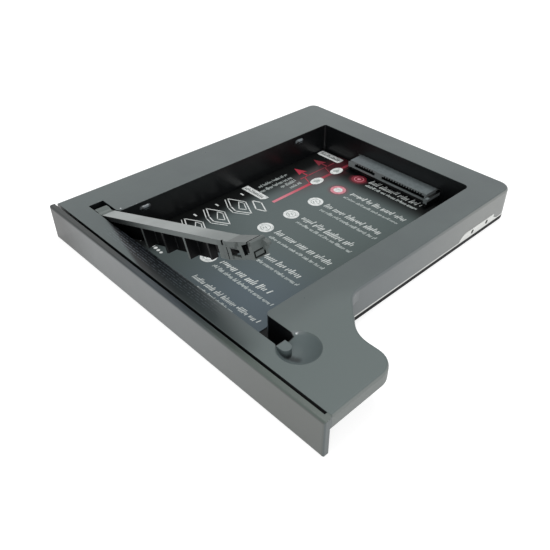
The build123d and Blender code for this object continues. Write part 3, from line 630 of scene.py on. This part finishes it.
def receptacleFinish():    # light on top, at the left end and along the lip, which is painted highlight on the black housing; black below and inside
    finish = smallFinish("connector")
    colour = finish.shader.inputs["Base Color"].links[0].from_socket
    x, y, z = finish.axes()
    facing, leans = finish.facing(), receptacle["lean"]
    lightEnd = finish.rise(x, mm(receptacle["ends"][1]), mm(receptacle["ends"][0]))
    colour = finish.mix(lightEnd, colour, receptacle["left"])
    colour = finish.mix(finish.rise(facing[2], *leans["lip"]), colour, receptacle["lip"])
    low = finish.rise(z, mm(receptacle["z"][1]), mm(receptacle["z"][0]))
    deep, step = fromFront(receptacle["front"]), mm(receptacle["step"])
    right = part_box("drive_receptacle")[1][0]
    start, end = [right - mm(reach) for reach in receptacle["outerX"]]
    outer = finish.product(finish.rise(facing[0], *leans["outer"]), finish.rise(x, start, end))
    inner = finish.product(finish.rise(y, deep, deep + step),
                           finish.rise(z, *inMetres(receptacle["mouthZ"])),
                           finish.calc("SUBTRACT", 1.0, outer))
    under = finish.product(finish.rise(facing[1], *leans["front"]), finish.rise(y, deep, deep - step),
                           finish.band(z, *inMetres(receptacle["lipZ"]), mm(receptacle["lipSoft"])))
    low = finish.calc("SUBTRACT", low, under)
    finish.give(Base_Color=finish.mix(finish.largest(low, inner), colour, receptacle["black"]))
    finish.shader.inputs["Specular IOR Level"].default_value = receptacle["specular"]
    return finish


contactFinish = smallFinish("contact")
lockFinish = smallFinish("lock")
screwFinish = smallFinish("screw")
for nodeName, finish in {
    "drive_receptacle": receptacleFinish(),
    "rear_plug": smallFinish("plug"),
    "drive_signal_contacts": contactFinish,
    "drive_power_contacts": contactFinish,
    "rear_signal_contacts": contactFinish,
    "rear_power_contacts": contactFinish,
    "receptacle_board_locks": lockFinish,
    "plug_board_locks": lockFinish,
    "lever_pin": smallFinish("pin"),
    "base_screws": screwFinish,
    "board_screws": screwFinish,
    "adapter_board": smallFinish("board", 1400),
    "board_capacitors": smallFinish("capacitor"),
    "board_resistors": smallFinish("resistor"),
}.items():
    dress(nodeName, finish)
print("hardware done")

# Label film: grey-green field that turns black along its left and rear sides
label = {
    "field": (tone(91, 101, 101), tone(82, 93, 92)),    # left and right of the rest
    "fieldX": (-22.0, 20.0),
    "front": (tone(73, 83, 83), tone(87, 99, 106)),     # left and right of the front third
    "frontX": (-27.0, 10.0),
    "frontY": (60.0, 25.0),
    "dark": tone(7, 9, 9),
    "leftFade": (-39.0, -29.5),
    "rearFade": (95.0, 106.0),
    "roughness": (0.36, 0.50),
    "roughNoise": (300, 4.0),
    "waves": (70, 2.0),
    "bump": (0.25, 0.0004),
    "specular": 0.12,
    "haze": {"x": -30.0, "reach": (8.5, 1.0), "y": (72.0, 98.0), "amount": 0.55, "tone": tone(78, 27, 36)},
    "glows": [(-17.0, 107.0, 1.2), (-17.0, 94.4, 1.2)],    # soft red light round the two red spots
    "glow": {"reach": (5.0, 2.4), "amount": 0.5, "tone": tone(124, 46, 60)},
}


def labelFinish():
    finish = Finish("labelFilm")
    x, y = finish.axes()[:2]
    front = ramp(finish, x, [inMetres(label["frontX"])], label["front"])
    field = ramp(finish, x, [inMetres(label["fieldX"])], label["field"])
    field = finish.mix(finish.rise(y, *behindFront(label["frontY"])), field, front)
    left = finish.rise(x, mm(label["leftFade"][1]), mm(label["leftFade"][0]))
    rear = finish.rise(y, *behindFront(label["rearFade"]))
    colour = finish.mix(finish.largest(left, rear), field, label["dark"])
    haze = label["haze"]
    away = finish.calc("ABSOLUTE", finish.calc("SUBTRACT", x, mm(haze["x"])))
    strength = finish.product(finish.rise(away, *inMetres(haze["reach"])),
                              finish.rise(y, *behindFront(haze["y"])), haze["amount"])
    colour = finish.mix(strength, colour, haze["tone"])
    glow = label["glow"]
    for place in label["glows"]:
        near = finish.rise(finish.away(spot(*place)), *inMetres(glow["reach"]))
        colour = finish.mix(finish.product(near, glow["amount"]), colour, glow["tone"])
    rough = finish.spread(finish.noise(*label["roughNoise"]), *label["roughness"])
    finish.give(Base_Color=colour, Roughness=rough,
                Normal=finish.bump(finish.noise(*label["waves"]), *label["bump"]))
    finish.shader.inputs["Specular IOR Level"].default_value = label["specular"]
    return finish


dress("floor_label", labelFinish())

# Print on the label: rows of plain marks, spots, a red line with nodes, and outline drawings.
# It carries no words; each row is made of short strokes.
labelPrint = {
    "bottom": 1.24,
    "top": 1.275,
    "haloTop": 1.28,
    "markTop": 1.285,        # marks that lie on a spot, a tag or a node
    "nodeMarkTop": 1.295,
    "seed": 7,
    "rows": [    # (left, right, front, rear, stroke pitch)
        (-12.5, 13.0, 107.4, 110.6, 0.92), (-12.0, 13.3, 104.6, 106.4, 0.55),
        (-11.5, 14.5, 94.9, 97.8, 0.86), (-12.0, 14.3, 91.6, 93.1, 0.50),
        (-12.8, 13.5, 81.4, 84.4, 0.90), (-11.8, 15.0, 78.1, 79.9, 0.55),
        (-12.5, 12.5, 68.4, 71.8, 0.92), (-12.0, 14.3, 65.8, 67.4, 0.52),
        (-12.5, 13.8, 55.5, 58.6, 0.90), (-12.0, 14.3, 52.3, 53.8, 0.50),
        (-12.0, 12.0, 43.2, 46.0, 0.90), (-12.3, 14.3, 40.1, 41.8, 0.52),
        (-12.0, 11.0, 30.4, 33.4, 0.90), (-12.3, 16.0, 27.5, 29.2, 0.52),
        (-12.3, 19.0, 19.2, 21.3, 0.70), (-7.2, 9.8, 17.0, 18.2, 0.58),
    ],
    "smallPitch": 0.6,       # rows up to this pitch are in the fainter ink
    "columns": [    # (left, right, front, rear, stroke pitch)
        (-40.8, -39.0, 73.0, 88.3, 0.52), (-37.8, -35.8, 71.0, 88.0, 0.52),
        (-35.1, -33.1, 79.5, 87.8, 0.52), (-32.2, -30.4, 81.8, 87.8, 0.52),
    ],
    "spots": [    # (x, y, radius); all but the first carry a ring and two strokes
        (-17.0, 94.4, 2.0), (-17.0, 81.6, 3.0), (-17.0, 68.6, 3.0), (-17.0, 55.8, 3.0),
        (-17.0, 43.0, 3.0), (-17.0, 30.0, 3.0),
    ],
    "spotRing": (1.75, 0.22),    # radius and width
    "spotMarks": [(((-0.9, -0.5), (0.1, -1.0)), 0.3), (((-0.5, 0.4), (0.9, -0.1)), 0.3)],    # ends, width
    "dotTurns": 16,
    "tick": ([(-41.9, 19.9), (-40.6, 19.2)], 0.8),
    "dots": [    # (x, y, half width, half length)
        (-35.2, 20.2, 0.8, 0.8), (-33.4, 20.1, 0.66, 0.7),
        (-31.7, 20.0, 0.62, 0.66), (-30.0, 19.9, 0.6, 0.62),
    ],
    "tags": [
        [(-43.75, 67.5), (-32.6, 67.5), (-31.5, 68.9), (-31.5, 70.75), (-43.75, 70.75)],
        [(-43.9, 110.75), (-32.5, 110.75), (-32.0, 111.6), (-32.0, 114.1), (-32.5, 114.6),
         (-43.9, 114.6), (-44.4, 114.0), (-44.4, 111.4)],
    ],
    "tagMarks": [    # (left, right, front, rear)
        (-42.9, -33.2, 68.3, 69.9), (-43.2, -33.2, 111.7, 113.6),
    ],
    "tagPitch": 0.78,
    "tagHeights": (0.6, 0.8, 1.0),            # shares of the row's own
    "tagWidths": (0.3, 0.5),
    "redLine": (-27.9, 69.5, 113.0, 1.35),    # x, front, rear and width
    "redFades": ((104.0, 90.0), (90.0, 72.0)),
    "redTones": (tone(120, 22, 40), tone(178, 44, 66), tone(206, 118, 132)),
    "nodes": [(-27.9, 105.4), (-27.65, 93.5)],
    "nodeSize": (2.1, 3.2),
    "nodeMarks": [(((-0.6, -0.9), (0.2, 0.7)), 0.8), (((0.5, -0.7), (0.9, 0.4)), 0.4)],    # ends, width
    "redSpot": (-17.0, 107.0, 3.1),
    "arrowTips": (105.5, 94.0),
    "arrowX": (-41.25, -36.6, -36.0, -36.4),    # tip, notch, barbs and where its shaft starts
    "arrowBarb": 2.2,
    "stemX": (-33.25, -28.0),                   # the stem, and where its two branches end
    "stemY": (90.0, 109.5),
    "branches": ((104.0, 102.0), (92.0, 90.0)),
    "shaftWidth": 0.6,
    "stemWidth": 0.4,
    "halo": (-17.0, 94.4, 2.45, 1.3),
    "innerHalo": (-17.0, 107.0, 1.9, 0.35),
    "haloDot": 0.8,
    "drawingsBack": (0.0, 10.35, -10.05),       # how far back each copy of the drawing stands
    "drawing": [    # (corners, stroke width, closed)
        ([(-41.5, 48.25), (-35.25, 51.75), (-27.5, 48.0), (-32.75, 44.75), (-36.25, 45.5)], 0.42, True),
        ([(-41.5, 46.9), (-36.25, 44.1), (-32.6, 43.4), (-27.5, 46.7)], 0.34, False),
        ([(-37.0, 49.85), (-34.75, 50.6), (-30.75, 48.35), (-33.0, 46.7)], 0.35, True),
    ],
    "cover": ([(-34.0, 64.5), (-30.75, 66.1), (-24.75, 63.25), (-28.5, 61.5)], 0.5, True),
    "dashes": [(-40.25, 64.75), (-40.75, 52.75), (-40.75, 42.5)],
    "dashSize": (0.9, 0.35),                    # half width and half length
}


def prism(bm, outline, high=labelPrint["top"]):    # a closed flat plate from a plan outline
    bottom = [bm.verts.new(spot(x, y, labelPrint["bottom"])) for x, y in outline]
    top = [bm.verts.new(spot(x, y, high)) for x, y in outline]
    bm.faces.new(top)
    bm.faces.new(bottom[::-1])
    for i in range(len(outline)):
        j = (i + 1) % len(outline)
        bm.faces.new((bottom[i], bottom[j], top[j], top[i]))


def rectangle(x0, x1, y0, y1):
    return [(x0, y0), (x1, y0), (x1, y1), (x0, y1)]


def ellipse(x, y, across, along, count=28):
    turns = [2 * math.pi * i / count for i in range(count)]
    return [(x + across * math.cos(t), y + along * math.sin(t)) for t in turns]


def stroke(bm, points, width, closed=False, high=labelPrint["top"]):
    ends = list(zip(points, points[1:] + points[:1])) if closed else list(zip(points, points[1:]))
    for (x0, y0), (x1, y1) in ends:
        length = math.hypot(x1 - x0, y1 - y0)
        dx, dy = (x1 - x0) / length * width / 2, (y1 - y0) / length * width / 2
        prism(bm, [(x0 - dx + dy, y0 - dy - dx), (x1 + dx + dy, y1 + dy - dx),
                   (x1 + dx - dy, y1 + dy + dx), (x0 - dx - dy, y0 - dy + dx)], high)


def ring(bm, x, y, radius, width, high):    # a flat ring about its middle line
    turns = 32
    inner, outer = radius - width / 2, radius + width / 2
    low = labelPrint["bottom"]
    loops = []
    for reach, level in ((inner, low), (outer, low), (outer, high), (inner, high)):
        loops.append([bm.verts.new(spot(a, b, level)) for a, b in ellipse(x, y, reach, reach, turns)])
    for first, second in zip(loops, loops[1:] + loops[:1]):
        for i in range(turns):
            j = (i + 1) % turns
            bm.faces.new((first[i], first[j], second[j], second[i]))


marks = {
    "first": (3, 8),                      # how many strokes the first group has, and the next ones
    "next": (3, 9),
    "last": 0.5,                          # a row ends this many pitches before its end
    "widths": (0.4, 0.6),                 # shares of the pitch
    "heads": (0.62, 0.66, 0.7, 0.98),     # shares of the row's height
    "feet": (0.0, 0.0, 0.02, 0.2),
    "gap": 0.9,                           # pitches between groups
    "slant": 0.22,
}


def markRow(bm, rng, start, end, foot, head, pitch, swap=False):    # strokes of mixed height, in groups
    here, left = start, rng.randint(*marks["first"])
    tall = head - foot
    while here < end - pitch * marks["last"]:
        width = pitch * rng.uniform(*marks["widths"])
        high = foot + tall * rng.choice(marks["heads"])
        low = foot + tall * rng.choice(marks["feet"])
        outline = rectangle(here, here + width, low, high)
        if swap:
            outline = [(head + foot - b, a) for a, b in outline]
        else:
            outline = [(a + marks["slant"] * (b - foot), b) for a, b in outline]    # leans with its height
        prism(bm, outline)
        here += pitch
        left -= 1
        if left == 0:
            here += pitch * marks["gap"]
            left = rng.randint(*marks["next"])


def piece(name, bm, finish, body="caddy"):
    bmesh.ops.recalc_face_normals(bm, faces=bm.faces)
    mesh = bpy.data.meshes.new(name)
    bm.to_mesh(mesh)
    bm.free()
    thing = bpy.data.objects.new(name, mesh)
    scene.collection.objects.link(thing)
    mesh.materials.append(finish.material)
    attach(thing, body)


ink = {
    "patches": (900, 4.0, 0.3, 0.6),
    "speckle": (3000, 2.0),
    "bump": (0.08, 0.00002),
    "roughness": 0.45,
}


def inkFinish(name, colour, patch):
    finish = Finish(name)
    finish.give(Base_Color=finish.mix(finish.patches(*ink["patches"]), patch, colour),
                Normal=finish.bump(finish.noise(*ink["speckle"]), *ink["bump"]))
    finish.shader.inputs["Roughness"].default_value = ink["roughness"]
    return finish


whiteInk = inkFinish("whiteInk", tone(228, 231, 230), tone(188, 194, 192))
rowInk = inkFinish("rowInk", tone(212, 217, 215), tone(176, 183, 181))
smallInk = inkFinish("smallInk", tone(196, 204, 202), tone(158, 167, 165))
greyInk = inkFinish("greyInk", tone(150, 160, 158), tone(120, 130, 128))
lineInk = inkFinish("lineInk", tone(172, 40, 62), tone(144, 30, 50))
pinkInk = inkFinish("pinkInk", tone(206, 132, 144), tone(182, 98, 112))
darkInk = inkFinish("darkInk", tone(40, 46, 46), tone(26, 30, 31))

# The red line grows paler toward the front
redFades = [behindFront(fade) for fade in labelPrint["redFades"]]
lineInk.give(Base_Color=ramp(lineInk, lineInk.axes()[1], redFades, labelPrint["redTones"]))


def printRows():
    rng = random.Random(labelPrint["seed"])
    rows, small = bmesh.new(), bmesh.new()
    for x0, x1, y0, y1, pitch in labelPrint["rows"]:
        markRow(rows if pitch > labelPrint["smallPitch"] else small, rng, x0, x1, y0, y1, pitch)
    for x0, x1, y0, y1, pitch in labelPrint["columns"]:
        markRow(small, rng, y0, y1, x0, x1, pitch, True)
    piece("labelRows", rows, rowInk)
    piece("labelSmallRows", small, smallInk)


def printSpots():
    bm = bmesh.new()
    for x, y, radius in labelPrint["spots"]:
        prism(bm, ellipse(x, y, radius, radius))
    for outline in labelPrint["tags"]:
        prism(bm, outline)
    for x, y, halfWidth, halfLength in labelPrint["dots"]:
        prism(bm, ellipse(x, y, halfWidth, halfLength, labelPrint["dotTurns"]))
    stroke(bm, *labelPrint["tick"])
    for x, y in labelPrint["nodes"]:
        prism(bm, ellipse(x, y, *labelPrint["nodeSize"]), labelPrint["markTop"])
    piece("labelSpots", bm, whiteInk)


def shifted(points, across, back):
    return [(x + across, y + back) for x, y in points]


def printSpotMarks():
    bm = bmesh.new()
    for x, y, _ in labelPrint["spots"][1:]:
        ring(bm, x, y, *labelPrint["spotRing"], labelPrint["markTop"])
        for points, width in labelPrint["spotMarks"]:
            stroke(bm, shifted(points, x, y), width, high=labelPrint["markTop"])
    for x, y in labelPrint["nodes"]:
        for points, width in labelPrint["nodeMarks"]:
            stroke(bm, shifted(points, x, y), width, high=labelPrint["nodeMarkTop"])
    piece("labelSpotMarks", bm, greyInk)


def printTagMarks():
    rng = random.Random(labelPrint["seed"] + 1)
    inner = bmesh.new()
    for x0, x1, y0, y1 in labelPrint["tagMarks"]:
        here = x0
        while here < x1:
            rear = y0 + (y1 - y0) * rng.choice(labelPrint["tagHeights"])
            width = rng.uniform(*labelPrint["tagWidths"])
            prism(inner, rectangle(here, here + width, y0, rear), labelPrint["markTop"])
            here += labelPrint["tagPitch"]
    piece("labelTagMarks", inner, darkInk)


def printRed():
    x, y0, y1, width = labelPrint["redLine"]
    bm = bmesh.new()
    prism(bm, rectangle(x - width / 2, x + width / 2, y0, y1))
    spotX, spotY, radius = labelPrint["redSpot"]
    prism(bm, ellipse(spotX, spotY, radius, radius))
    tip, notch, barbs, shaft = labelPrint["arrowX"]
    barb = labelPrint["arrowBarb"]
    stem, branchEnd = labelPrint["stemX"]
    for y in labelPrint["arrowTips"]:
        prism(bm, [(tip, y), (barbs, y - barb), (notch, y), (barbs, y + barb)])
        stroke(bm, [(shaft, y), (stem, y)], labelPrint["shaftWidth"])
    stroke(bm, [(stem, y) for y in labelPrint["stemY"]], labelPrint["stemWidth"])
    for start, end in labelPrint["branches"]:
        stroke(bm, [(stem, start), (branchEnd, end)], labelPrint["stemWidth"])
    piece("labelRedLines", bm, lineInk)
    halo = bmesh.new()
    ring(halo, *labelPrint["halo"], labelPrint["haloTop"])
    ring(halo, *labelPrint["innerHalo"], labelPrint["markTop"])
    dot = labelPrint["haloDot"]
    prism(halo, ellipse(spotX, spotY, dot, dot, labelPrint["dotTurns"]), labelPrint["markTop"])
    piece("labelHalo", halo, pinkInk)


def printDrawings():
    bm = bmesh.new()
    for back in labelPrint["drawingsBack"]:
        for points, width, closed in labelPrint["drawing"]:
            stroke(bm, shifted(points, 0.0, back), width, closed)
    stroke(bm, *labelPrint["cover"])
    halfWidth, halfLength = labelPrint["dashSize"]
    for x, y in labelPrint["dashes"]:
        prism(bm, rectangle(x - halfWidth, x + halfWidth, y - halfLength, y + halfLength))
    piece("labelDrawings", bm, whiteInk)


printRows()
printSpots()
printSpotMarks()
printTagMarks()
printRed()
printDrawings()
print("label printed")

# Floor, world, lights and camera, all in metres
studio = {
    "world": 0.50,
    "key": {"towards": (-0.10, 0.33, 0.94), "distance": 1.0, "size": 0.3, "watts": 4.0},
    "fill": {"towards": (0.62, -0.62, 0.36), "distance": 1.2, "size": 1.0, "watts": 6.5},
    "floorSize": 4.0,
    "floorDrop": 0.00003,
    "floorTone": tone(240, 240, 240),
    "floorRoughness": 0.9,
    "floorSpecular": 0.1,
    "floorGlow": 0.49,
    "floorLight": 1.61,
}


def backgroundMask(tree):    # 1 for rays from the camera and for mirrored or passed rays
    path = tree.nodes.new("ShaderNodeLightPath")
    total = path.outputs["Is Camera Ray"]
    for other in ("Is Glossy Ray", "Is Transmission Ray"):
        larger = tree.nodes.new("ShaderNodeMath")
        larger.operation = "MAXIMUM"
        tree.links.new(total, larger.inputs[0])
        tree.links.new(path.outputs[other], larger.inputs[1])
        total = larger.outputs[0]
    return total


def addSky():
    world = bpy.data.worlds.new("studioWorld")
    scene.world = world
    world.use_nodes = True
    tree = world.node_tree
    tree.nodes.clear()
    out = tree.nodes.new("ShaderNodeOutputWorld")
    seen = backgroundMask(tree)
    soft = tree.nodes.new("ShaderNodeBackground")
    soft.inputs["Color"].default_value = (1.0, 1.0, 1.0, 1.0)
    soft.inputs["Strength"].default_value = studio["world"]
    white = tree.nodes.new("ShaderNodeBackground")
    white.inputs["Color"].default_value = (1.0, 1.0, 1.0, 1.0)
    both = tree.nodes.new("ShaderNodeMixShader")
    tree.links.new(seen, both.inputs[0])
    tree.links.new(soft.outputs[0], both.inputs[1])
    tree.links.new(white.outputs[0], both.inputs[2])
    tree.links.new(both.outputs[0], out.inputs[0])


def addFloor():
    bm = bmesh.new()
    bmesh.ops.create_grid(bm, x_segments=8, y_segments=8, size=studio["floorSize"])
    mesh = bpy.data.meshes.new("paperFloor")
    bm.to_mesh(mesh)
    bm.free()
    floor = bpy.data.objects.new("paperFloor", mesh)
    floor.location.z = -studio["floorDrop"]
    scene.collection.objects.link(floor)
    finish = Finish("paper")
    finish.give(Base_Color=studio["floorTone"])
    finish.shader.inputs["Roughness"].default_value = studio["floorRoughness"]
    finish.shader.inputs["Specular IOR Level"].default_value = studio["floorSpecular"]
    glow = finish.add("ShaderNodeEmission", {"Strength": studio["floorLight"]})
    share = finish.product(backgroundMask(finish.tree), studio["floorGlow"])
    both = finish.add("ShaderNodeMixShader", {0: share, 1: finish.shader.outputs[0], 2: glow.outputs[0]})
    finish.tree.links.new(both.outputs[0], finish.tree.nodes["Material Output"].inputs[0])
    mesh.materials.append(finish.material)


def softLamp(name, settings):
    lamp = bpy.data.lights.new(name, "AREA")
    lamp.shape = "DISK"
    lamp.size = settings["size"]
    lamp.energy = settings["watts"]
    thing = bpy.data.objects.new(name, lamp)
    away = Vector(settings["towards"]).normalized()
    thing.location = away * settings["distance"]
    thing.rotation_euler = away.to_track_quat("Z", "Y").to_euler()
    scene.collection.objects.link(thing)


camera = {
    "right": (0.7075705, 0.7063615, 0.0199347),
    "up": (-0.4530911, 0.4318571, 0.7798769),
    "back": (0.5422661, -0.5608501, 0.6256155),
    "place": (0.12185, -0.13275, 0.12488),
    "lens": 40.584,        # millimetres, as is the sensor's width
    "sensor": 36.0,
    "shift": (-0.04845, 0.01576),
    "nearest": 0.005,
}


def addCamera():
    data = bpy.data.cameras.new("camera")
    data.sensor_width = camera["sensor"]
    data.lens = camera["lens"]
    data.shift_x, data.shift_y = camera["shift"]
    data.clip_start = camera["nearest"]
    thing = bpy.data.objects.new("camera", data)
    columns = [camera[key] for key in ("right", "up", "back", "place")]
    rows = [[column[i] for column in columns] for i in range(3)]
    thing.matrix_world = Matrix(rows + [[0.0, 0.0, 0.0, 1.0]])
    scene.collection.objects.link(thing)
    scene.camera = thing


addSky()
addFloor()
softLamp("keyLamp", studio["key"])
softLamp("fillLamp", studio["fill"])
addCamera()
scene.view_settings.view_transform = "Standard"
print("studio done")
